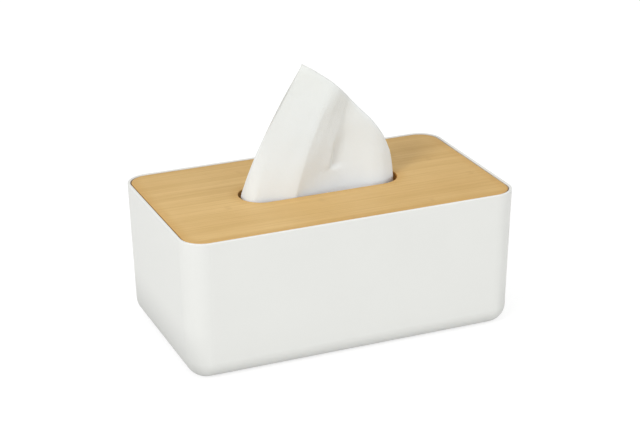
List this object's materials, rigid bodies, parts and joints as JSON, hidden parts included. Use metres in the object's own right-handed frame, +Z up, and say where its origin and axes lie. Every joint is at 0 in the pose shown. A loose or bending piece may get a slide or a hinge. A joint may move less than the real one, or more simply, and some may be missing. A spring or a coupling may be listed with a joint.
{
  "type": "tissue box",
  "caption": "Rectangular tissue box: a smooth white moulded tub with rounded corners, a flush bamboo lid with a long slot, folded tissues inside and one tissue standing out of the slot.",
  "frame": {"origin": "centre of the tub's flat underside, on the surface that the box stands on", "axes": "+Z up, +X along the box's long side, -Y towards the long side that faces the user, which the tissue's open side faces too"},
  "size_m": [0.245, 0.141, 0.1919],
  "materials": {
    "white_plastic": "smooth satin moulding",
    "bamboo": "fine straight grain, thin matt lacquer",
    "tissue_paper": "soft creped paper"
  },
  "bodies": {
    "tub": {"box_body": "white_plastic", "tissue_pack": "tissue_paper", "tissue": "tissue_paper"},
    "lid": {"lid": "bamboo"}
  },
  "joints": [
    {"name": "lid_lift", "type": "slide", "parent": "tub", "child": "lid", "axis": [0, 0, 1], "range_m": [0, 0.11]}
  ]
}
